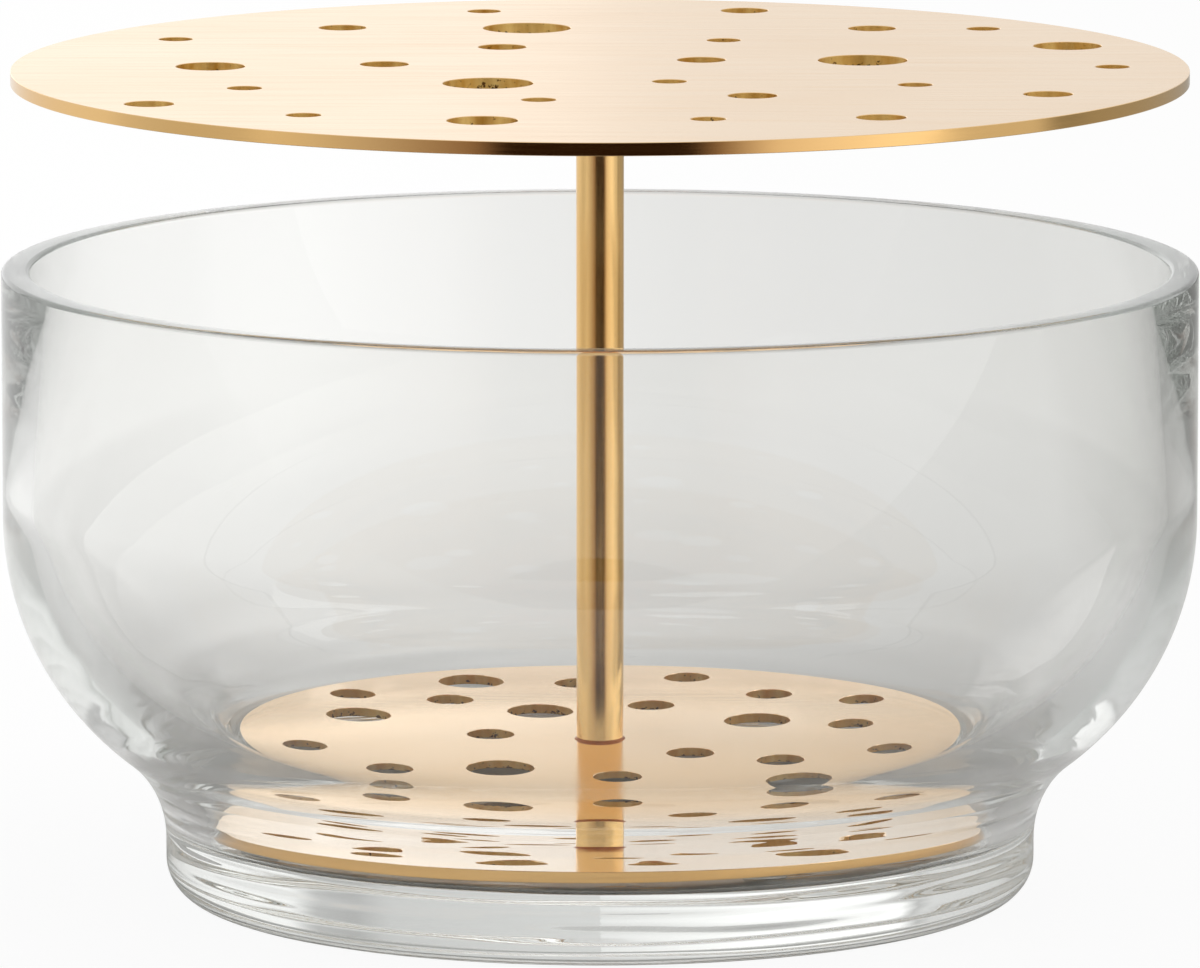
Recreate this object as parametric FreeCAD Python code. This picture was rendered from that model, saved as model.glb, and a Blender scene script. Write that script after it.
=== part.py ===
import FreeCAD, Part
import math
import os

# A flower frog in a glass bowl.  Two perforated brass discs on one post stand in the
# round well of the bowl's foot: stems go down through the wide upper disc, which stays
# above the rim, and into the smaller lower disc, which lies just off the well's floor.
#
# Frame: millimetres, +Z up, origin at the centre of the bowl's underside.

# ---- glass bowl, outside ----
BOWL_DIAMETER = 200.0
BOWL_HEIGHT = 106.0
FOOT_DIAMETER = 145.8
FOOT_STRAIGHT_HEIGHT = 9.6      # straight side of the foot, up to the neck
NECK_BEND = 19.0                # radius of the hollow bend above the foot
BELLY_BEND = 50.0               # radius of the round bend below the wall
FOOT_EDGE_RADIUS = 6.5          # rounding between the foot's side and its underside
STANDING_RING_WIDTH = 5.0       # flat ring that the bowl stands on
UNDERSIDE_HOLLOW = 1.0          # depth of the shallow hollow inside that ring

# ---- glass bowl, inside ----
RIM_WALL = 4.8                  # wall thickness at the rim
RIM_EDGE_RADIUS = 0.8
FOOT_WALL = 8.0                 # wall thickness around the foot's well
BASE_THICKNESS = 12.3           # glass under the well's floor
INNER_BELLY_BEND = 46.0
INNER_NECK_BEND = 23.0
INNER_SLOPE_LENGTH = 9.0        # straight slope between those two bends
INNER_BEND_RAISE = 4.2          # inner belly starts to bend this much above the outer one
WELL_CORNER_RADIUS = 2.0        # between the well's floor and its side

# ---- brass insert ----
SHEET = 2.2                     # thickness of both discs
UPPER_DISC_DIAMETER = 196.5
WELL_GAP = 0.7                  # between the lower disc's edge and the well's side
DISC_EDGE_RADIUS = 0.15
POST_DIAMETER = 8.0
POST_LENGTH = 120.5             # between the two discs
POST_END_CHAMFER = 0.3

# ---- fixings of the post, both on its axis ----
THREAD_DIAMETER = 4.0
THREAD_GAP = 0.05               # radial, between a thread and its hole
THREAD_END_CHAMFER = 0.4
TAPPED_HOLE_SPARE = 2.0         # the tapped hole runs on past the thread's end
TAPPED_HOLE_LEAD_IN = 0.5       # chamfer at the tapped hole's mouth
STUD_LENGTH = 10.0
SCREW_LENGTH = 12.0             # over all, head included
SCREW_HEAD_DIAMETER = 7.5
SCREW_HEAD_LAND = 0.2           # straight edge of the countersunk head
SCREW_HEAD_GAP = 0.02           # radial, between the head and its countersink
SCREW_HOLE_GAP = 0.2            # radial, between the screw's shank and the disc
HEX_SOCKET = 2.5                # across the flats
HEX_SOCKET_DEPTH = 1.4

# ---- silicone pads under the lower disc ----
PAD_COUNT = 3
PAD_DIAMETER = 7.0
PAD_HEIGHT = 2.2
PAD_EDGE_RADIUS = 0.8
PAD_INSET = 6.8                 # from the disc's edge to a pad's centre
PAD_FIRST_ANGLE = -63.0

# Stem holes by diameter, each with the centres (x, y) of its holes.  The centres are given
# on a disc of the pattern's diameter: on a disc of another size they spread or close up
# with it, while the holes keep their diameters.
UPPER_PATTERN_DIAMETER = 196.5
UPPER_HOLES = {
    15.0: [(-18.5, -21.0), (-12.5, 56.0), (44.0, 10.5)],
    11.6: [(-65.0, 2.0), (-19.0, -70.0), (79.0, 30.5)],
    8.2: [
        (-73.5, -48.5), (-44.0, 56.5), (-36.0, 5.0), (-16.5, 29.0), (17.0, 11.0),
        (25.0, 81.5), (25.0, -37.5), (46.5, 55.5), (45.5, -66.0), (73.5, -35.5),
    ],
    5.8: [
        (-72.0, 40.0), (-58.5, -27.5), (-48.0, -63.0), (-20.0, 80.5), (-10.0, -43.0),
        (11.5, -18.5), (17.5, -68.0), (21.0, 38.5), (52.0, -23.0), (65.5, 55.0),
        (85.5, 1.5),
    ],
}
LOWER_PATTERN_DIAMETER = 128.4
LOWER_HOLES = {
    11.6: [
        (-42.5, 17.0), (-23.0, 48.5), (-10.5, 23.0), (27.5, 14.0), (-17.0, -24.0),
        (-14.0, -46.5), (34.0, -35.0),
    ],
    8.2: [
        (-51.5, -10.5), (-44.0, 35.0), (-36.0, -26.0), (-35.5, -40.0), (-26.5, 32.0),
        (-19.0, 3.0), (-4.0, 48.0), (3.0, -30.5), (8.5, -46.5), (9.0, 28.0),
        (15.5, 52.5), (15.5, -12.0), (30.0, 36.5), (31.0, -18.5), (44.0, 9.0),
        (46.5, 29.5), (50.5, -13.0),
    ],
}

# ---- heights and radii that follow from the sizes above ----
BOWL_RADIUS = BOWL_DIAMETER / 2
FOOT_RADIUS = FOOT_DIAMETER / 2
INNER_RADIUS = BOWL_RADIUS - RIM_WALL
WELL_RADIUS = FOOT_RADIUS - FOOT_WALL
LOWER_DISC_RADIUS = WELL_RADIUS - WELL_GAP
LOWER_DISC_Z = BASE_THICKNESS + PAD_HEIGHT
POST_Z = LOWER_DISC_Z + SHEET
UPPER_DISC_Z = POST_Z + POST_LENGTH
PAD_CIRCLE_RADIUS = LOWER_DISC_RADIUS - PAD_INSET
TAPPED_HOLE_RADIUS = THREAD_DIAMETER / 2 + THREAD_GAP
SCREW_HEAD_HEIGHT = SCREW_HEAD_LAND + (SCREW_HEAD_DIAMETER - THREAD_DIAMETER) / 2
UP = FreeCAD.Vector(0, 0, 1)


def at(radius, z):
    """Point of an outline that is turned about the Z axis."""
    return FreeCAD.Vector(radius, 0, z)


def line(start, end):
    return Part.LineSegment(start, end).toShape()


def bend(centre, radius, start, end):
    """Arc of an outline about a centre, between two angles in degrees."""
    def on_arc(angle):
        turn = math.radians(angle)
        return centre + at(radius * math.cos(turn), radius * math.sin(turn))
    return Part.Arc(on_arc(start), on_arc((start + end) / 2), on_arc(end)).toShape()


def turned(outline):
    """Solid of revolution inside an outline, whose gaps are closed by straight lines."""
    edges = []
    for edge, following in zip(outline, outline[1:] + outline[:1]):
        edges.append(edge)
        end = edge.lastVertex(True).Point
        start = following.firstVertex(True).Point
        if end.distanceToPoint(start) > 1e-6:
            edges.append(line(end, start))
    return Part.Face(Part.Wire(edges)).revolve(FreeCAD.Vector(0, 0, 0), UP, 360)


def turned_points(points):
    """Solid of revolution inside an outline of straight lines."""
    corners = [at(radius, z) for radius, z in points]
    return turned([line(start, end) for start, end in zip(corners, corners[1:])])


def edges_at(shape, z):
    """The edges of a shape that lie wholly at one height."""
    return [e for e in shape.Edges if abs(e.BoundBox.ZMin - z) < 1e-6 and abs(e.BoundBox.ZMax - z) < 1e-6]


def bend_angle(step, bends, slope):
    """Turn of two opposite bends with a straight slope between them.

    Together they carry a wall sideways by the step.  The bends' radii add up to bends.
    """
    span = math.hypot(bends, slope)
    return math.acos((bends - step) / span) - math.atan2(slope, bends)


def wall_curve(bottom_radius, top_radius, neck, belly, slope, belly_z=None, neck_z=None):
    """Neck, slope and belly of a wall, upwards, and the height where the belly ends."""
    turn = bend_angle(top_radius - bottom_radius, neck + belly, slope)
    rise = (neck + belly) * math.sin(turn) + slope * math.cos(turn)
    if neck_z is None:
        neck_z = belly_z - rise
    degrees = math.degrees(turn)
    neck_arc = bend(at(bottom_radius + neck, neck_z), neck, 180, 180 - degrees)
    belly_arc = bend(at(top_radius - belly, neck_z + rise), belly, -degrees, 0)
    return [neck_arc, belly_arc], neck_z, neck_z + rise


def bowl_body(outer_curve):
    """Solid glass inside the bowl's outer surface, with the hollow under its foot."""
    ring_radius = FOOT_RADIUS - FOOT_EDGE_RADIUS
    hollow_radius = ring_radius - STANDING_RING_WIDTH
    dome_radius = (hollow_radius ** 2 + UNDERSIDE_HOLLOW ** 2) / (2 * UNDERSIDE_HOLLOW)
    dome_angle = math.degrees(math.asin(hollow_radius / dome_radius))
    dome = bend(at(0, UNDERSIDE_HOLLOW - dome_radius), dome_radius, 90, 90 - dome_angle)
    foot_edge = bend(at(ring_radius, FOOT_EDGE_RADIUS), FOOT_EDGE_RADIUS, -90, 0)
    rim = line(at(BOWL_RADIUS, BOWL_HEIGHT), at(0, BOWL_HEIGHT))
    return turned([dome, foot_edge] + outer_curve + [rim])


def bowl_cavity(belly_z):
    """Space inside the bowl: the well in the foot, the round belly and the open top."""
    curve, well_z, _ = wall_curve(
        WELL_RADIUS, INNER_RADIUS, INNER_NECK_BEND, INNER_BELLY_BEND, INNER_SLOPE_LENGTH, belly_z=belly_z
    )
    below = min(well_z, BASE_THICKNESS) - SHEET
    above = BOWL_HEIGHT + SHEET
    floor = line(at(0, below), at(WELL_RADIUS, below))
    top = line(at(INNER_RADIUS, above), at(0, above))
    cavity = turned([floor] + curve + [top])
    keep = Part.makeCylinder(BOWL_DIAMETER, above, at(0, BASE_THICKNESS), UP)
    cavity = cavity.common(keep)
    return cavity.makeFillet(WELL_CORNER_RADIUS, edges_at(cavity, BASE_THICKNESS))


def glass_bowl():
    """Bowl of thick clear glass: straight wall, round belly, neck and foot with a well."""
    outer_curve, _, outer_belly_z = wall_curve(
        FOOT_RADIUS, BOWL_RADIUS, NECK_BEND, BELLY_BEND, 0, neck_z=FOOT_STRAIGHT_HEIGHT
    )
    bowl = bowl_body(outer_curve).cut(bowl_cavity(outer_belly_z + INNER_BEND_RAISE))
    return bowl.makeFillet(RIM_EDGE_RADIUS, edges_at(bowl, BOWL_HEIGHT))


def stem_holes(holes, pattern_diameter, disc_radius, z):
    """One cutter for each stem hole of a disc whose lower face is at a height."""
    spread = 2 * disc_radius / pattern_diameter
    cutters = []
    for diameter, centres in holes.items():
        for x, y in centres:
            foot = FreeCAD.Vector(x * spread, y * spread, z - SHEET)
            cutters.append(Part.makeCylinder(diameter / 2, 3 * SHEET, foot, UP))
    return cutters


def disc_blank(radius, z):
    """Round sheet of brass with its two edges eased."""
    blank = Part.makeCylinder(radius, SHEET, at(0, z), UP)
    edges = edges_at(blank, z) + edges_at(blank, z + SHEET)
    return blank.makeFillet(DISC_EDGE_RADIUS, edges)


def upper_disc():
    """Wide disc with its scattered stem holes.  Its middle is plain: the stud is below it."""
    radius = UPPER_DISC_DIAMETER / 2
    blank = disc_blank(radius, UPPER_DISC_Z)
    return blank.cut(stem_holes(UPPER_HOLES, UPPER_PATTERN_DIAMETER, radius, UPPER_DISC_Z))


def lower_disc():
    """Small disc that drops into the well, countersunk from below for the post's screw."""
    blank = disc_blank(LOWER_DISC_RADIUS, LOWER_DISC_Z)
    head = SCREW_HEAD_DIAMETER / 2 + SCREW_HEAD_GAP
    hole = THREAD_DIAMETER / 2 + SCREW_HOLE_GAP
    under = LOWER_DISC_Z - SHEET
    seat = LOWER_DISC_Z + SCREW_HEAD_LAND
    over = LOWER_DISC_Z + 2 * SHEET
    countersink = turned_points(
        [(0, under), (head, under), (head, seat), (hole, seat + head - hole), (hole, over), (0, over)]
    )
    cutters = stem_holes(LOWER_HOLES, LOWER_PATTERN_DIAMETER, LOWER_DISC_RADIUS, LOWER_DISC_Z)
    return blank.cut(cutters + [countersink])


def tapped_hole(mouth_z, depth, inwards):
    """Cutter for a tapped hole on the axis.  It goes up where inwards is 1, down for -1."""
    mouth = TAPPED_HOLE_RADIUS + TAPPED_HOLE_LEAD_IN
    lead_z = mouth_z + inwards * TAPPED_HOLE_LEAD_IN
    end_z = mouth_z + inwards * depth
    return turned_points(
        [(0, mouth_z), (mouth, mouth_z), (TAPPED_HOLE_RADIUS, lead_z), (TAPPED_HOLE_RADIUS, end_z), (0, end_z)]
    )


def post():
    """Round rod between the discs, tapped at both ends."""
    rod = Part.makeCylinder(POST_DIAMETER / 2, POST_LENGTH, at(0, POST_Z), UP)
    ends = edges_at(rod, POST_Z) + edges_at(rod, UPPER_DISC_Z)
    rod = rod.makeChamfer(POST_END_CHAMFER, ends)
    screw_hole = tapped_hole(POST_Z, SCREW_LENGTH - SHEET + TAPPED_HOLE_SPARE, 1)
    stud_hole = tapped_hole(UPPER_DISC_Z, STUD_LENGTH + TAPPED_HOLE_SPARE, -1)
    return rod.cut([screw_hole, stud_hole])


def upper_stud():
    """Threaded stud brazed to the underside of the upper disc."""
    radius = THREAD_DIAMETER / 2
    stud = Part.makeCylinder(radius, STUD_LENGTH, at(0, UPPER_DISC_Z - STUD_LENGTH), UP)
    return stud.makeChamfer(THREAD_END_CHAMFER, edges_at(stud, UPPER_DISC_Z - STUD_LENGTH))


def hex_socket():
    """Cutter for the six-sided socket in the screw's head."""
    corner = HEX_SOCKET / math.sqrt(3)
    corners = []
    for side in range(7):
        turn = math.radians(60 * side)
        corners.append(FreeCAD.Vector(corner * math.cos(turn), corner * math.sin(turn), LOWER_DISC_Z))
    return Part.Face(Part.makePolygon(corners)).extrude(UP * HEX_SOCKET_DEPTH)


def lower_screw():
    """Countersunk screw, flush with the lower disc's underside, up into the post."""
    head = SCREW_HEAD_DIAMETER / 2
    shank = THREAD_DIAMETER / 2
    tip = shank - THREAD_END_CHAMFER
    bottom = LOWER_DISC_Z
    end = bottom + SCREW_LENGTH
    neck = bottom + SCREW_HEAD_HEIGHT
    screw = turned_points([
        (0, bottom), (head, bottom), (head, bottom + SCREW_HEAD_LAND), (shank, neck),
        (shank, end - THREAD_END_CHAMFER), (tip, end), (0, end),
    ])
    return screw.cut(hex_socket())


def foot_pad(index):
    """Clear silicone pad between the lower disc and the well's floor."""
    turn = math.radians(PAD_FIRST_ANGLE + index * 360 / PAD_COUNT)
    centre = FreeCAD.Vector(PAD_CIRCLE_RADIUS * math.cos(turn), PAD_CIRCLE_RADIUS * math.sin(turn), BASE_THICKNESS)
    pad = Part.makeCylinder(PAD_DIAMETER / 2, PAD_HEIGHT, centre, UP)
    return pad.makeFillet(PAD_EDGE_RADIUS, edges_at(pad, BASE_THICKNESS))


def main():
    os.makedirs("parts", exist_ok=True)
    pieces = {
        "glass_bowl": glass_bowl(),
        "upper_disc": upper_disc(),
        "upper_stud": upper_stud(),
        "post": post(),
        "lower_disc": lower_disc(),
        "lower_screw": lower_screw(),
    }
    for index in range(PAD_COUNT):
        pieces[f"foot_pad_{index + 1}"] = foot_pad(index)
    for name, shape in pieces.items():
        shape.exportStep(f"parts/{name}.step")
        print(f"{name}: {len(shape.Solids)} solid, {shape.Volume / 1000:.2f} cm3, valid {shape.isValid()}")


main()
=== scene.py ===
"""Looks of a flower frog: two perforated brass discs on a post, standing in a clear glass bowl."""
import math

import bpy
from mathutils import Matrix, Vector


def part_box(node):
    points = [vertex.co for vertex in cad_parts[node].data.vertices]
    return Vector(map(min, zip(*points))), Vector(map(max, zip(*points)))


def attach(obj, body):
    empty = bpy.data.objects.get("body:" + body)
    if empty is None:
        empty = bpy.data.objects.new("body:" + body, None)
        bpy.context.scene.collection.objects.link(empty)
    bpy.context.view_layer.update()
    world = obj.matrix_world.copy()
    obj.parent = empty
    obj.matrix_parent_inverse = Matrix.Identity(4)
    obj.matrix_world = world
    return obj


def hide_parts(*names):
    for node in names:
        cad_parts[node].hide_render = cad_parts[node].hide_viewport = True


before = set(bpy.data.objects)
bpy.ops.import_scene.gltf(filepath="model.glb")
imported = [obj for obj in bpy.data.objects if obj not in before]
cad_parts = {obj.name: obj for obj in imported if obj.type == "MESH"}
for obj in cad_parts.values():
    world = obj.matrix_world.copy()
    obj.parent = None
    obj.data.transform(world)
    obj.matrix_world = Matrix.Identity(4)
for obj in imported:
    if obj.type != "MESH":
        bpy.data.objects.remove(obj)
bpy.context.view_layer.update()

MM = 0.001

# ---- sizes of the bowl, in millimetres ----
BOWL_RADIUS = 100.0
BOWL_HEIGHT = 106.0
FOOT_RADIUS = 72.9
FOOT_EDGE = 6.5                 # rounding between the foot's side and its underside
FOOT_STRAIGHT = 9.6             # height where the neck starts
RING_WIDTH = 5.0                # flat ring that the bowl stands on
HOLLOW = 1.0                    # shallow dome under the foot
NECK_BEND = 19.0
BELLY_BEND = 50.0
RIM_EDGE = 0.8
INNER_RADIUS = 95.2
WELL_RADIUS = 64.9
WELL_FLOOR = 12.3
WELL_CORNER = 2.0
INNER_NECK_BEND = 23.0
INNER_BELLY_BEND = 46.0
INNER_SLOPE = 9.0
INNER_RAISE = 4.2               # the inner belly starts this much above the outer one

# ---- how finely round pieces are turned ----
BOWL_SEGMENTS = 360
DISC_SEGMENTS = 360
POST_SEGMENTS = 128
HOLE_SEGMENTS = 64

# ---- sizes of the insert, in millimetres ----
UPPER_RADIUS = 98.25
LOWER_RADIUS = 64.2
POST_RADIUS = 4.0
POST_CHAMFER = 0.3
EDGE_BREAK = 0.12               # sharpness taken off the discs' edges and holes
BEAD_HEIGHT = 0.55              # ring round the foot of the post, dark orange as painted shade where the post meets the disc
BEAD_WIDTH = 0.4
BEAD_TOE = (0.05, 0.12)         # steps in and up of the bead's outline, from its foot
BEAD_SHOULDER = (0.25, 0.18)
UPPER_HOLES = {
    15.0: [(-18.5, -21.0), (-12.5, 56.0), (44.0, 10.5)],
    11.6: [(-65.0, 2.0), (-19.0, -70.0), (79.0, 30.5)],
    8.2: [
        (-73.5, -48.5), (-44.0, 56.5), (-36.0, 5.0), (-16.5, 29.0), (17.0, 11.0),
        (25.0, 81.5), (25.0, -37.5), (46.5, 55.5), (45.5, -66.0), (73.5, -35.5),
    ],
    5.8: [
        (-72.0, 40.0), (-58.5, -27.5), (-48.0, -63.0), (-20.0, 80.5), (-10.0, -43.0),
        (11.5, -18.5), (17.5, -68.0), (21.0, 38.5), (52.0, -23.0), (65.5, 55.0),
        (85.5, 1.5),
    ],
}
LOWER_HOLES = {
    11.6: [
        (-42.5, 17.0), (-23.0, 48.5), (-10.5, 23.0), (27.5, 14.0), (-17.0, -24.0),
        (-14.0, -46.5), (34.0, -35.0),
    ],
    8.2: [
        (-51.5, -10.5), (-44.0, 35.0), (-36.0, -26.0), (-35.5, -40.0), (-26.5, 32.0),
        (-19.0, 3.0), (-4.0, 48.0), (3.0, -30.5), (8.5, -46.5), (9.0, 28.0),
        (15.5, 52.5), (15.5, -12.0), (30.0, 36.5), (31.0, -18.5), (44.0, 9.0),
        (46.5, 29.5), (50.5, -13.0),
    ],
}

# ---- studio, in metres ----
CAMERA_PLACE = (0, -2.1588, 0.4034)
CAMERA_DIP = 0.1536             # radians below level
SENSOR_WIDTH = 36               # millimetres, as is the lens
LENS = 391.2
VIEW_DEPTH = 50
LIGHT_BOUNCES = 128             # light runs far along the inside of thick glass
FLOOR_SIZE = (6.0, 3.4)
FLOOR_MIDDLE = (0, 1.25)
FLOOR_DROP = 0.06 * MM          # keeps the floor clear of the bowl's ring
WORLD_STRENGTH = 2.0            # the room's levels below are each doubled by it
WHITE_ROOM = 0.5                # at that strength, pure white
CEILING = 0.44
FRONT_WALL = 0.38
# Light round the room, by the angle in degrees from the camera's side, left first.  The
# last number is how far it leans to brown.  From -19 to 18 degrees is the dark doorway.
WALLS = [
    (-180, 0.56, 0.0), (-165, 0.75, 0.0), (-148, 0.75, 0.0), (-145, 0.34, 0.0),
    (-142, 0.46, 0.0), (-70, 0.46, 0.0), (-57, 0.38, 0.0), (-24, 0.15, 0.5),
    (-19, 0.010, 1.0), (18, 0.010, 1.0), (23, 0.14, 0.5), (34, 0.46, 0.1),
    (60, 0.64, 0.0), (80, 0.68, 0.0), (146, 0.64, 0.0), (150, 0.34, 0.0),
    (156, 0.30, 0.0), (160, 0.40, 0.0), (180, 0.46, 0.0),
]
FRONT_HALF_ANGLE = 60           # the front wall reaches this far to each side


# ---- materials ----

def linear(code):
    """Linear colour, as a shader takes it, from an sRGB hex code."""
    shares = [int(code[i:i + 2], 16) / 255 for i in (1, 3, 5)]
    return [s / 12.92 if s <= 0.04045 else ((s + 0.055) / 1.055) ** 2.4 for s in shares] + [1.0]


def grey(level):
    """Neutral colour of a linear level."""
    return (level, level, level, 1.0)


def add(tree, kind, inputs=None, **settings):
    """Adds a node with its settings, and sets or links its inputs by name or number."""
    new = tree.nodes.new(kind)
    for name, value in settings.items():
        setattr(new, name, value)
    for name, value in (inputs or {}).items():
        if isinstance(value, bpy.types.NodeSocket):
            tree.links.new(value, new.inputs[name])
        else:
            new.inputs[name].default_value = value
    return new


def per(size):
    """How often a pattern comes in a metre, from its size in millimetres."""
    return 1 / (size * MM)


def new_material(name):
    """Empty node material, with its tree and its output node."""
    made = bpy.data.materials.new(name)
    made.use_nodes = True
    made.node_tree.nodes.clear()
    return made, made.node_tree, add(made.node_tree, "ShaderNodeOutputMaterial")


def ramp(tree, factor, stops):
    """Colour ramp with the given (position, colour) stops."""
    made = add(tree, "ShaderNodeValToRGB", {"Fac": factor})
    elements = made.color_ramp.elements
    while len(elements) < len(stops):
        elements.new(0.5)
    for element, (position, colour) in zip(elements, stops):
        element.position = position
        element.color = colour
    return made


def pressed_soda_glass():
    """Soda-lime glass, pressed and fire-polished.

    Clear, with a faint grey where it is thick.  Fire polishing leaves slow waves about
    40 mm long, which bend the reflections.  The foot keeps low ridges 4 mm high and 70 mm
    long from the mould, which draw it out in streaks.
    """
    made, tree, output = new_material("soda_glass_fire_polished")
    place = add(tree, "ShaderNodeTexCoord")
    waves = add(tree, "ShaderNodeTexNoise", {
        "Vector": place.outputs["Object"], "Scale": per(38), "Detail": 1.0, "Roughness": 0.4,
    })
    soft = add(tree, "ShaderNodeBump", {
        "Height": waves.outputs["Fac"], "Strength": 1.0, "Distance": 0.06 * MM,
    })
    drawn = add(tree, "ShaderNodeMapping", {
        "Vector": place.outputs["Object"], "Scale": (per(70), per(70), per(4.2)),
    })
    ripple = add(tree, "ShaderNodeTexNoise", {
        "Vector": drawn.outputs["Vector"], "Scale": 1.0, "Detail": 1.0,
    })
    split = add(tree, "ShaderNodeSeparateXYZ", {"Vector": place.outputs["Object"]})
    foot = add(tree, "ShaderNodeMapRange", {
        "Value": split.outputs["Z"], "From Min": 24 * MM, "From Max": 16 * MM,
    })
    ridges = add(tree, "ShaderNodeMath", {
        0: ripple.outputs["Fac"], 1: foot.outputs["Result"],
    }, operation="MULTIPLY")
    bump = add(tree, "ShaderNodeBump", {
        "Height": ridges.outputs["Value"], "Strength": 1.0, "Distance": 0.5 * MM,
        "Normal": soft.outputs["Normal"],
    })
    glass = add(tree, "ShaderNodeBsdfPrincipled", {
        "Base Color": linear("#FDFDFC"), "Roughness": 0.0, "IOR": 1.51,
        "Transmission Weight": 1.0, "Normal": bump.outputs["Normal"],
    })
    light = add(tree, "ShaderNodeLightPath")
    through = add(tree, "ShaderNodeBsdfTransparent", {"Color": linear("#E4E6E3")})
    surface = add(tree, "ShaderNodeMixShader", {
        "Fac": light.outputs["Is Shadow Ray"], 1: glass.outputs["BSDF"], 2: through.outputs["BSDF"],
    })
    tint = add(tree, "ShaderNodeVolumeAbsorption", {
        "Color": linear("#DFE1DF"), "Density": 7.0,
    })
    tree.links.new(surface.outputs["Shader"], output.inputs["Surface"])
    tree.links.new(tint.outputs["Volume"], output.inputs["Volume"])
    return made


def brushed_brass(name, colour, deep_colour, roughness, grain, depth):
    """Yellow brass, lacquered over fine brushing.

    Satin and pale gold.  The brush lines draw highlights out across them.  grain is the
    size of a line in X, Y and Z, and depth its depth, in millimetres.  Real brush lines
    are about 0.1 mm wide, too fine to show, so they are drawn 4 to 11 times as coarse.
    """
    made, tree, output = new_material(name)
    place = add(tree, "ShaderNodeTexCoord")
    along = add(tree, "ShaderNodeMapping", {
        "Vector": place.outputs["Object"], "Scale": [per(size) for size in grain],
    })
    lines = add(tree, "ShaderNodeTexNoise", {
        "Vector": along.outputs["Vector"], "Scale": 1.0, "Detail": 5.0, "Roughness": 0.6,
    })
    cloud = add(tree, "ShaderNodeTexNoise", {
        "Vector": place.outputs["Object"], "Scale": per(45), "Detail": 3.0, "Roughness": 0.5,
    })
    tone = add(tree, "ShaderNodeMapRange", {
        "Value": cloud.outputs["Fac"], "From Min": 0.35, "From Max": 0.75,
    })
    paint = add(tree, "ShaderNodeMix", {
        "Factor": tone.outputs["Result"], "A": linear(colour), "B": linear(deep_colour),
    }, data_type="RGBA")
    sheen = add(tree, "ShaderNodeMapRange", {
        "Value": lines.outputs["Fac"], "From Min": 0.3, "From Max": 0.7,
        "To Min": roughness * 0.75, "To Max": roughness * 1.3,
    })
    bump = add(tree, "ShaderNodeBump", {
        "Height": lines.outputs["Fac"], "Strength": 1.0, "Distance": depth * MM,
    })
    brass = add(tree, "ShaderNodeBsdfPrincipled", {
        "Metallic": 1.0, "Roughness": sheen.outputs["Result"], "Normal": bump.outputs["Normal"],
    })
    tree.links.new(paint.outputs["Result"], brass.inputs["Base Color"])
    tree.links.new(brass.outputs["BSDF"], output.inputs["Surface"])
    return made


def drilled_brass(name, low_z, dark, light):
    """Bare wall of a drilled hole in brass.

    Deeper gold than the brushed faces, with upright tool marks and dark flecks that
    crowd towards its lower edge.  The marks are drawn 2.4 mm apart, coarser than real ones,
    because finer ones would not show.
    """
    made, tree, output = new_material(name)
    place = add(tree, "ShaderNodeTexCoord")
    along = add(tree, "ShaderNodeMapping", {
        "Vector": place.outputs["Object"], "Scale": (per(2.4), per(2.4), per(11)),
    })
    marks = add(tree, "ShaderNodeTexNoise", {
        "Vector": along.outputs["Vector"], "Scale": 1.0, "Detail": 4.0,
    })
    spots = add(tree, "ShaderNodeTexNoise", {
        "Vector": place.outputs["Object"], "Scale": per(1.1), "Detail": 2.0, "Roughness": 0.7,
    })
    split = add(tree, "ShaderNodeSeparateXYZ", {"Vector": place.outputs["Object"]})
    low = add(tree, "ShaderNodeMapRange", {
        "Value": split.outputs["Z"], "From Min": low_z, "From Max": low_z + 1.3 * MM,
        "To Min": 0.16, "To Max": 0.0,
    })
    near = add(tree, "ShaderNodeMath", {
        0: spots.outputs["Fac"], 1: low.outputs["Result"],
    }, operation="ADD")
    fleck = add(tree, "ShaderNodeMapRange", {
        "Value": near.outputs["Value"], "From Min": 0.66, "From Max": 0.72,
    })
    stripe = add(tree, "ShaderNodeMapRange", {
        "Value": marks.outputs["Fac"], "From Min": 0.3, "From Max": 0.75,
    })
    gold = add(tree, "ShaderNodeMix", {
        "Factor": stripe.outputs["Result"], "A": linear(dark), "B": linear(light),
    }, data_type="RGBA")
    paint = add(tree, "ShaderNodeMix", {
        "Factor": fleck.outputs["Result"], "A": gold.outputs["Result"], "B": linear("#5A3A10"),
    }, data_type="RGBA")
    bump = add(tree, "ShaderNodeBump", {
        "Height": marks.outputs["Fac"], "Strength": 1.0, "Distance": 0.05 * MM,
    })
    brass = add(tree, "ShaderNodeBsdfPrincipled", {
        "Metallic": 0.7, "Roughness": 0.42, "Normal": bump.outputs["Normal"],
    })
    tree.links.new(paint.outputs["Result"], brass.inputs["Base Color"])
    tree.links.new(brass.outputs["BSDF"], output.inputs["Surface"])
    return made


def post_foot_painted_shade():
    """Thin dark orange ring round the foot of the post, softly shiny: painted shade where the post
    meets the disc.
    """
    made, tree, output = new_material("bead_painted_shade")
    place = add(tree, "ShaderNodeTexCoord")
    patches = add(tree, "ShaderNodeTexNoise", {
        "Vector": place.outputs["Object"], "Scale": per(1.4), "Detail": 2.0,
    })
    # Painted shade: the dark orange stands in for the shade where the post meets the disc.
    paint = add(tree, "ShaderNodeMix", {
        "Factor": patches.outputs["Fac"], "A": linear("#7A3A0C"), "B": linear("#C8772A"),
    }, data_type="RGBA")
    lacquer = add(tree, "ShaderNodeBsdfPrincipled", {
        "Metallic": 0.6, "Roughness": 0.3, "Base Color": paint.outputs["Result"],
    })
    tree.links.new(lacquer.outputs["BSDF"], output.inputs["Surface"])
    return made


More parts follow.
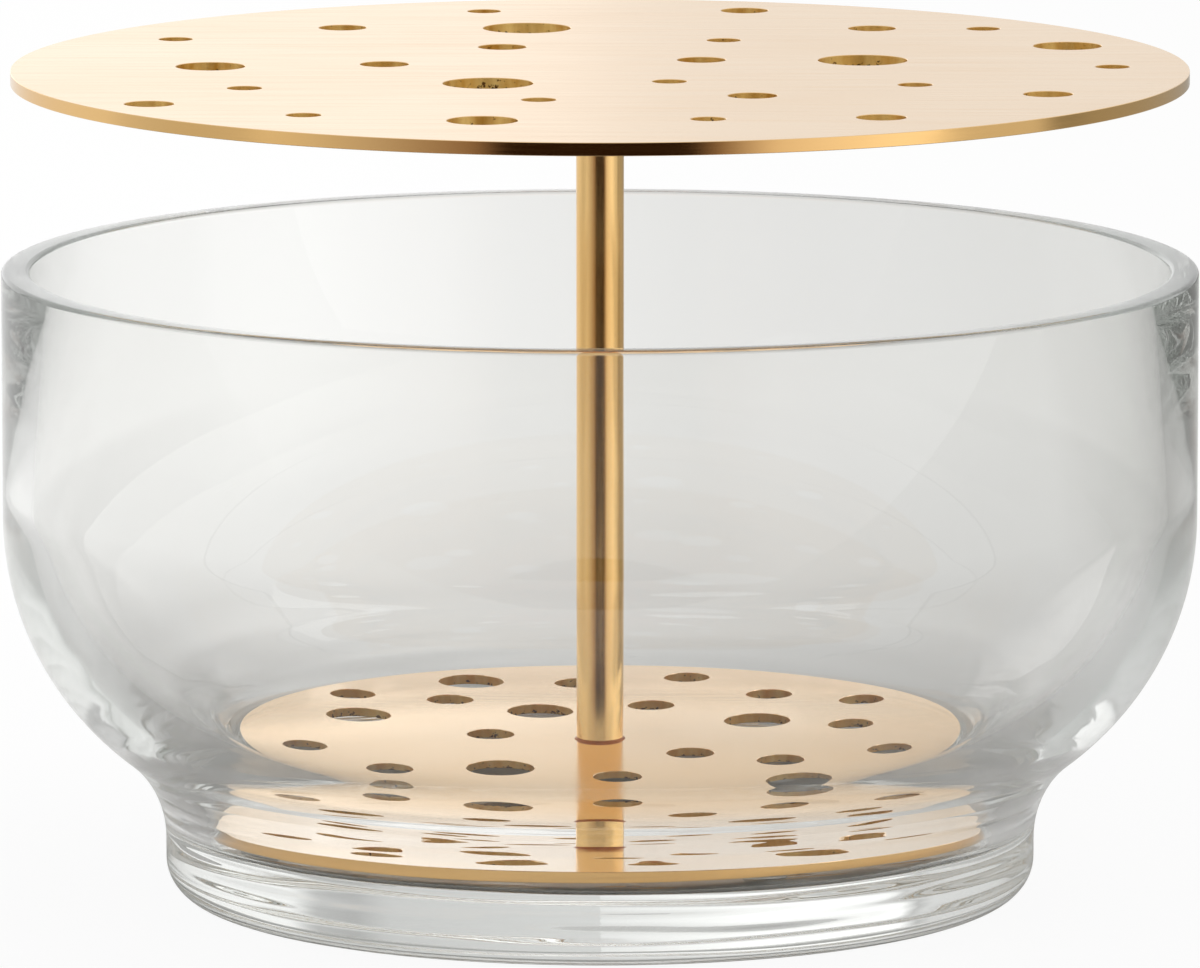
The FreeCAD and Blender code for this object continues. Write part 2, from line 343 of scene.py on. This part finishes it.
def turned_steel():
    """Stainless steel, turned and left bare: grey, with fine rings round its axis.

    A wave repeats about three times in its scale, so the rings come 0.25 mm apart, a
    little coarser than a lathe leaves them.
    """
    made, tree, output = new_material("stainless_steel_turned")
    place = add(tree, "ShaderNodeTexCoord")
    rings = add(tree, "ShaderNodeTexWave", {
        "Vector": place.outputs["Object"], "Scale": per(0.8), "Distortion": 0.5,
    }, wave_type="RINGS", rings_direction="Z")
    sheen = add(tree, "ShaderNodeMapRange", {
        "Value": rings.outputs["Fac"], "To Min": 0.22, "To Max": 0.38,
    })
    steel = add(tree, "ShaderNodeBsdfPrincipled", {
        "Base Color": linear("#BDBCB8"), "Metallic": 1.0, "Roughness": sheen.outputs["Result"],
    })
    tree.links.new(steel.outputs["BSDF"], output.inputs["Surface"])
    return made


def clear_silicone():
    """Clear silicone rubber, moulded: soft shine, slightly milky."""
    made, tree, output = new_material("silicone_clear_moulded")
    place = add(tree, "ShaderNodeTexCoord")
    haze = add(tree, "ShaderNodeTexNoise", {
        "Vector": place.outputs["Object"], "Scale": per(1.6), "Detail": 2.0,
    })
    sheen = add(tree, "ShaderNodeMapRange", {
        "Value": haze.outputs["Fac"], "To Min": 0.12, "To Max": 0.3,
    })
    rubber = add(tree, "ShaderNodeBsdfPrincipled", {
        "Base Color": linear("#EEF2F1"), "Roughness": sheen.outputs["Result"], "IOR": 1.41,
        "Transmission Weight": 0.85,
    })
    tree.links.new(rubber.outputs["BSDF"], output.inputs["Surface"])
    return made


# ---- modelling ----

def start_vertex(name, radius, z):
    """New object with one selected vertex, in edit mode, from which an outline is drawn."""
    bpy.ops.object.select_all(action="DESELECT")
    bpy.ops.mesh.primitive_plane_add(size=MM, location=(radius * MM, 0, z * MM))
    made = bpy.context.object
    made.name = name
    made.data.name = name
    bpy.ops.object.transform_apply(location=True, rotation=True, scale=True)
    bpy.ops.object.mode_set(mode="EDIT")
    bpy.ops.mesh.select_mode(type="VERT")
    bpy.ops.mesh.select_all(action="SELECT")
    bpy.ops.mesh.merge(type="CENTER")
    return made


def run(radius, z):
    """Draws a straight run of the outline, by a step in radius and height."""
    bpy.ops.mesh.extrude_vertices_move(
        TRANSFORM_OT_translate={"value": (radius * MM, 0, z * MM)}
    )


def curl(radius, z, degrees, steps):
    """Draws a bend of the outline about a centre.  Positive degrees turn from +X to +Z."""
    bpy.ops.mesh.spin(
        steps=steps, angle=math.radians(degrees),
        center=(radius * MM, 0, z * MM), axis=(0, 1, 0),
    )


def turn_outline(segments):
    """Turns the outline about the Z axis into a closed skin with its faces outwards."""
    bpy.ops.mesh.select_all(action="SELECT")
    bpy.ops.mesh.spin(steps=segments, angle=math.tau, center=(0, 0, 0), axis=(0, 0, 1))
    bpy.ops.mesh.select_all(action="SELECT")
    bpy.ops.mesh.remove_doubles(threshold=0.002 * MM)
    bpy.ops.mesh.normals_make_consistent(inside=False)
    bpy.ops.object.mode_set(mode="OBJECT")


def only(piece):
    """Makes a piece the only selected object, and the active one."""
    bpy.ops.object.select_all(action="DESELECT")
    piece.select_set(True)
    bpy.context.view_layer.objects.active = piece


def smooth(piece, degrees):
    """Shades a piece smooth, but for edges sharper than an angle."""
    only(piece)
    bpy.ops.object.shade_smooth_by_angle(angle=math.radians(degrees))


def paint_faces(piece, slot, chosen):
    """Gives the chosen faces the material in one of the piece's slots."""
    only(piece)
    bpy.ops.object.mode_set(mode="EDIT")
    bpy.ops.mesh.select_mode(type="FACE")
    bpy.ops.mesh.select_all(action="DESELECT")
    bpy.ops.object.mode_set(mode="OBJECT")
    for polygon in piece.data.polygons:
        polygon.select = chosen(polygon)
    piece.active_material_index = slot
    bpy.ops.object.mode_set(mode="EDIT")
    bpy.ops.object.material_slot_assign()
    bpy.ops.object.mode_set(mode="OBJECT")


def wall_turn(step, bends, slope):
    """Turn of two opposite bends, with a slope between, that carry a wall sideways.  In radians."""
    return math.acos((bends - step) / math.hypot(bends, slope)) - math.atan2(slope, bends)


def glass_bowl():
    """Bowl spun from one outline: dome, ring, foot, neck, belly and wall, then the inside down."""
    ring = FOOT_RADIUS - FOOT_EDGE
    hollow = ring - RING_WIDTH
    dome = (hollow ** 2 + HOLLOW ** 2) / (2 * HOLLOW)
    turn = wall_turn(BOWL_RADIUS - FOOT_RADIUS, NECK_BEND + BELLY_BEND, 0)
    belly_z = FOOT_STRAIGHT + (NECK_BEND + BELLY_BEND) * math.sin(turn)
    bends = INNER_NECK_BEND + INNER_BELLY_BEND
    inner_turn = wall_turn(INNER_RADIUS - WELL_RADIUS, bends, INNER_SLOPE)
    inner_z = belly_z + INNER_RAISE
    well_z = inner_z - bends * math.sin(inner_turn) - INNER_SLOPE * math.cos(inner_turn)
    corner_z = WELL_FLOOR + WELL_CORNER
    reach = INNER_NECK_BEND + WELL_CORNER
    corner_turn = math.asin((corner_z - well_z) / reach)
    corner = WELL_RADIUS + INNER_NECK_BEND - reach * math.cos(corner_turn)
    degrees = math.degrees

    bowl = start_vertex("bowl_glass", 0, HOLLOW)
    curl(0, HOLLOW - dome, -degrees(math.asin(hollow / dome)), 8)
    run(RING_WIDTH, 0)
    curl(ring, FOOT_EDGE, 90, 16)
    run(0, FOOT_STRAIGHT - FOOT_EDGE)
    curl(FOOT_RADIUS + NECK_BEND, FOOT_STRAIGHT, -degrees(turn), 24)
    curl(BOWL_RADIUS - BELLY_BEND, belly_z, degrees(turn), 30)
    run(0, BOWL_HEIGHT - RIM_EDGE - belly_z)
    curl(BOWL_RADIUS - RIM_EDGE, BOWL_HEIGHT - RIM_EDGE, 90, 6)
    run(INNER_RADIUS - BOWL_RADIUS + 2 * RIM_EDGE, 0)
    curl(INNER_RADIUS + RIM_EDGE, BOWL_HEIGHT - RIM_EDGE, 90, 6)
    run(0, inner_z - BOWL_HEIGHT + RIM_EDGE)
    curl(INNER_RADIUS - INNER_BELLY_BEND, inner_z, -degrees(inner_turn), 30)
    run(-INNER_SLOPE * math.sin(inner_turn), -INNER_SLOPE * math.cos(inner_turn))
    curl(WELL_RADIUS + INNER_NECK_BEND, well_z, degrees(inner_turn - corner_turn), 24)
    curl(corner, corner_z, degrees(corner_turn) - 90, 8)
    run(-corner / 2, 0)
    run(-corner / 2, 0)
    turn_outline(BOWL_SEGMENTS)
    smooth(bowl, 35)
    bowl.data.materials.append(pressed_soda_glass())
    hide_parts("glass_bowl")
    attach(bowl, "bowl")


def drill(disc, holes, low, high, wall):
    """Drills a disc.  The cutters carry the wall's material, which the holes keep."""
    cutters = []
    for diameter, centres in holes.items():
        for x, y in centres:
            bpy.ops.mesh.primitive_cylinder_add(
                vertices=HOLE_SEGMENTS, radius=diameter / 2 * MM, depth=3 * (high - low),
                location=(x * MM, y * MM, (low + high) / 2),
            )
            cutters.append(bpy.context.object)
    bpy.ops.object.select_all(action="DESELECT")
    for cutter in cutters:
        cutter.select_set(True)
    bpy.context.view_layer.objects.active = cutters[0]
    bpy.ops.object.join()
    tool = bpy.context.object
    tool.data.materials.append(wall)
    only(disc)
    cut = disc.modifiers.new("holes", "BOOLEAN")
    cut.object = tool
    cut.operation = "DIFFERENCE"
    cut.solver = "EXACT"
    cut.material_mode = "TRANSFER"
    bpy.ops.object.modifier_apply(modifier="holes")
    bpy.data.objects.remove(tool)


def perforated_disc(name, node, radius, holes, face, edge, wall):
    """Round sheet of brass with its stem holes, and all its edges just broken."""
    low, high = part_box(node)
    bpy.ops.object.select_all(action="DESELECT")
    bpy.ops.mesh.primitive_cylinder_add(
        vertices=DISC_SEGMENTS, radius=radius * MM, depth=high.z - low.z,
        location=(0, 0, (low.z + high.z) / 2),
    )
    disc = bpy.context.object
    disc.name = name
    disc.data.name = name
    bpy.ops.object.transform_apply(location=True, rotation=True, scale=True)
    disc.data.materials.append(face)
    disc.data.materials.append(edge)
    paint_faces(disc, 1, lambda polygon: abs(polygon.normal.z) < 0.5)
    drill(disc, holes, low.z, high.z, wall)
    only(disc)
    broken = disc.modifiers.new("edges", "BEVEL")
    broken.width = EDGE_BREAK * MM
    broken.segments = 1
    broken.limit_method = "ANGLE"
    broken.angle_limit = math.radians(50)
    bpy.ops.object.modifier_apply(modifier="edges")
    smooth(disc, 30)
    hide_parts(node)
    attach(disc, "insert")


def brass_post(face, bead):
    """Round rod with its ends just broken, and a bead round its foot that carries painted shade
    where the post meets the disc.
    """
    low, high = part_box("post")
    z = low.z / MM
    top = high.z / MM
    post = start_vertex("brass_post", 0, z)
    run(POST_RADIUS + BEAD_WIDTH, 0)
    run(-BEAD_TOE[0], BEAD_TOE[1])
    run(-BEAD_SHOULDER[0], BEAD_SHOULDER[1])
    run(
        BEAD_TOE[0] + BEAD_SHOULDER[0] - BEAD_WIDTH,
        BEAD_HEIGHT - BEAD_TOE[1] - BEAD_SHOULDER[1],
    )
    run(0, top - z - BEAD_HEIGHT - POST_CHAMFER)
    run(-POST_CHAMFER, POST_CHAMFER)
    run(POST_CHAMFER - POST_RADIUS, 0)
    turn_outline(POST_SEGMENTS)
    post.data.materials.append(face)
    post.data.materials.append(bead)
    bead_top = low.z + BEAD_HEIGHT * MM
    paint_faces(
        post, 1, lambda polygon: polygon.center.z < bead_top and polygon.normal.z > -0.5
    )
    smooth(post, 30)
    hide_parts("post")
    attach(post, "insert")


def repaint(node, material):
    """Gives a CAD node its material."""
    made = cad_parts[node]
    made.data.materials.clear()
    made.data.materials.append(material)


lower_face = brushed_brass(
    "brass_sheet_polished", "#FBE0BE", "#F8D8B0", roughness=0.13, grain=(40, 1.1, 1.1), depth=0.003
)
upper_face = brushed_brass(
    "brass_sheet_brushed", "#F4D09E", "#F0C890", roughness=0.17, grain=(40, 1.1, 1.1), depth=0.004
)
disc_edge = brushed_brass(
    "brass_edge_turned", "#EDC384", "#E6B873", roughness=0.12, grain=(17, 17, 0.4), depth=0.002
)
post_face = brushed_brass(
    "brass_rod_satin", "#F0C98A", "#EABC76", roughness=0.17, grain=(0.67, 0.67, 25), depth=0.003
)
glass_bowl()
perforated_disc(
    "upper_disc_brass", "upper_disc", UPPER_RADIUS, UPPER_HOLES, upper_face, disc_edge,
    drilled_brass("brass_drilled_upper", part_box("upper_disc")[0].z, "#C08A30", "#F0CE80"),
)
# Painted light: the lower disc's hole walls get lighter, more golden colours than the upper's, to
# make up for the dim light under that disc.
perforated_disc(
    "lower_disc_brass", "lower_disc", LOWER_RADIUS, LOWER_HOLES, lower_face, disc_edge,
    drilled_brass("brass_drilled_lower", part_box("lower_disc")[0].z, "#E6A64C", "#FFDE94"),
)
brass_post(post_face, post_foot_painted_shade())
repaint("upper_stud", post_face)
repaint("lower_screw", turned_steel())
silicone = clear_silicone()
for index in (1, 2, 3):
    repaint(f"foot_pad_{index}", silicone)


# ---- studio ----

def studio_world():
    """White room.

    Only mirrored light finds the dark brown doorway low down in front.  The paper, and what
    is seen straight through the glass, has a pale wall there.
    """
    world = bpy.data.worlds.new("studio")
    bpy.context.scene.world = world
    world.use_nodes = True
    tree = world.node_tree
    tree.nodes.clear()
    place = add(tree, "ShaderNodeTexCoord")
    way = add(tree, "ShaderNodeSeparateXYZ", {"Vector": place.outputs["Generated"]})
    front = add(tree, "ShaderNodeMath", {0: way.outputs["Y"], 1: -1.0}, operation="MULTIPLY")
    angle = add(tree, "ShaderNodeMath", {
        0: way.outputs["X"], 1: front.outputs["Value"],
    }, operation="ARCTAN2")
    share = add(tree, "ShaderNodeMapRange", {
        "Value": angle.outputs["Value"], "From Min": -math.pi, "From Max": math.pi,
    })
    doorway = ramp(tree, share.outputs["Result"], [
        (
            (degrees + 180) / 360,
            (level, level * (1 - 0.58 * brown), level * (1 - 0.85 * brown), 1.0),
        )
        for degrees, level, brown in WALLS
    ])
    walls = ramp(tree, share.outputs["Result"], [
        ((degrees + 180) / 360, grey(level if abs(degrees) > FRONT_HALF_ANGLE else FRONT_WALL))
        for degrees, level, _ in WALLS
    ])
    light = add(tree, "ShaderNodeLightPath")
    mirrored = add(tree, "ShaderNodeMath", {
        0: light.outputs["Glossy Depth"], 1: 0.5,
    }, operation="GREATER_THAN")
    low_down = add(tree, "ShaderNodeMapRange", {
        "Value": way.outputs["Z"], "From Min": 0.16, "From Max": 0.1,
    })
    open_door = add(tree, "ShaderNodeMath", {
        0: mirrored.outputs["Value"], 1: low_down.outputs["Result"],
    }, operation="MULTIPLY")
    sides = add(tree, "ShaderNodeMix", {
        "Factor": open_door.outputs["Value"],
        "A": walls.outputs["Color"], "B": doorway.outputs["Color"],
    }, data_type="RGBA")
    high_up = add(tree, "ShaderNodeMapRange", {
        "Value": way.outputs["Z"], "From Min": 0.16, "From Max": 0.42,
    })
    room = add(tree, "ShaderNodeMix", {
        "Factor": high_up.outputs["Result"], "A": sides.outputs["Result"], "B": grey(CEILING),
    }, data_type="RGBA")
    shown = add(tree, "ShaderNodeMix", {
        "Factor": light.outputs["Is Camera Ray"],
        "A": room.outputs["Result"], "B": grey(WHITE_ROOM),
    }, data_type="RGBA")
    sky = add(tree, "ShaderNodeBackground", {
        "Color": shown.outputs["Result"], "Strength": WORLD_STRENGTH,
    })
    output = add(tree, "ShaderNodeOutputWorld")
    tree.links.new(sky.outputs["Background"], output.inputs["Surface"])


def pale_floor():
    """Sheet of white paper.

    Seen directly it is evenly white, with a faint shadow.  Through the glass and in the
    brass it is lit paper whose colour carries painted shade: greyest at the back right, with a
    painted shadow close round the bowl, and whitest far behind.
    """
    bpy.ops.object.select_all(action="DESELECT")
    bpy.ops.mesh.primitive_plane_add(size=1, location=(*FLOOR_MIDDLE, -FLOOR_DROP))
    floor = bpy.context.object
    floor.name = "floor"
    floor.scale = (*FLOOR_SIZE, 1.0)
    bpy.ops.object.transform_apply(location=True, rotation=True, scale=True)
    made, tree, output = new_material("paper_white")
    place = add(tree, "ShaderNodeTexCoord")
    split = add(tree, "ShaderNodeSeparateXYZ", {"Vector": place.outputs["Object"]})
    # Painted shade: the paper's colour is greyed towards the back right, behind the bowl.
    right = add(tree, "ShaderNodeMapRange", {
        "Value": split.outputs["X"], "From Min": -0.1, "From Max": 0.4,
    })
    behind = add(tree, "ShaderNodeMapRange", {
        "Value": split.outputs["Y"], "From Min": 0.0, "From Max": 0.14,
    })
    corner = add(tree, "ShaderNodeMath", {
        0: right.outputs["Result"], 1: behind.outputs["Result"],
    }, operation="MULTIPLY")
    tone = ramp(tree, corner.outputs["Value"], [
        (0.06, linear("#F1F1F0")), (0.3, linear("#DADAD9")),
        (0.5, linear("#CECECC")), (0.9, linear("#A4A4A1")),
    ])
    # Painted shade: the paper's colour is darker towards the front and whitest far behind.
    back = add(tree, "ShaderNodeMapRange", {
        "Value": split.outputs["Y"], "From Min": 0.0, "From Max": 0.5,
    })
    depth = ramp(tree, back.outputs["Result"], [
        (0.1, linear("#DEDEDE")), (0.5, linear("#E8E8E8")),
        (0.58, linear("#EFEFEF")), (0.66, linear("#F9F9F9")),
    ])
    # The two painted shades together.
    sheet = add(tree, "ShaderNodeMix", {
        "Factor": 1.0, "A": tone.outputs["Color"], "B": depth.outputs["Color"],
    }, data_type="RGBA", blend_type="MULTIPLY")
    # Painted shadow: the paper's colour is darkened to 0.8 close round the bowl, fading out from
    # 0.1 to 0.17 m.
    middle = add(tree, "ShaderNodeVectorMath", {0: place.outputs["Object"]}, operation="LENGTH")
    bowl_shadow = add(tree, "ShaderNodeMapRange", {
        "Value": middle.outputs["Value"], "From Min": 0.1, "From Max": 0.17, "To Min": 0.8,
    })
    shaded_paper = add(tree, "ShaderNodeMix", {
        "Factor": 1.0, "A": sheet.outputs["Result"], "B": bowl_shadow.outputs["Result"],
    }, data_type="RGBA", blend_type="MULTIPLY")
    paper = add(tree, "ShaderNodeBsdfDiffuse", {"Color": shaded_paper.outputs["Result"]})
    glow = add(tree, "ShaderNodeEmission", {"Color": (1, 1, 1, 1), "Strength": 1.0})
    light = add(tree, "ShaderNodeLightPath")
    even = add(tree, "ShaderNodeMath", {
        0: light.outputs["Is Camera Ray"], 1: 0.94,
    }, operation="MULTIPLY")
    surface = add(tree, "ShaderNodeMixShader", {
        "Fac": even.outputs["Value"], 1: paper.outputs["BSDF"], 2: glow.outputs["Emission"],
    })
    tree.links.new(surface.outputs["Shader"], output.inputs["Surface"])
    floor.data.materials.append(made)


def soft_light(name, place, aim, size, power):
    """Square softbox at a place, facing a point.  Nothing mirrors it."""
    light = bpy.data.lights.new(name, "AREA")
    light.shape = "RECTANGLE"
    light.size = size
    light.size_y = size
    light.energy = power
    lamp = bpy.data.objects.new(name, light)
    bpy.context.scene.collection.objects.link(lamp)
    lamp.location = place
    lamp.rotation_euler = (Vector(aim) - Vector(place)).to_track_quat("-Z", "Y").to_euler()
    lamp.visible_glossy = False


studio_world()
pale_floor()
soft_light("top_softbox", place=(0.2, 0.2, 1.7), aim=(0, 0, 0.1), size=2.2, power=15.0)

camera = bpy.data.objects.new("camera", bpy.data.cameras.new("camera"))
scene = bpy.context.scene
scene.collection.objects.link(camera)
camera.location = CAMERA_PLACE
camera.rotation_euler = (math.pi / 2 - CAMERA_DIP, 0, 0)
camera.data.sensor_width = SENSOR_WIDTH
camera.data.lens = LENS
camera.data.clip_end = VIEW_DEPTH
bpy.context.scene.camera = camera
scene.view_settings.view_transform = "Standard"
scene.cycles.max_bounces = LIGHT_BOUNCES
scene.cycles.transmission_bounces = LIGHT_BOUNCES
scene.cycles.glossy_bounces = LIGHT_BOUNCES
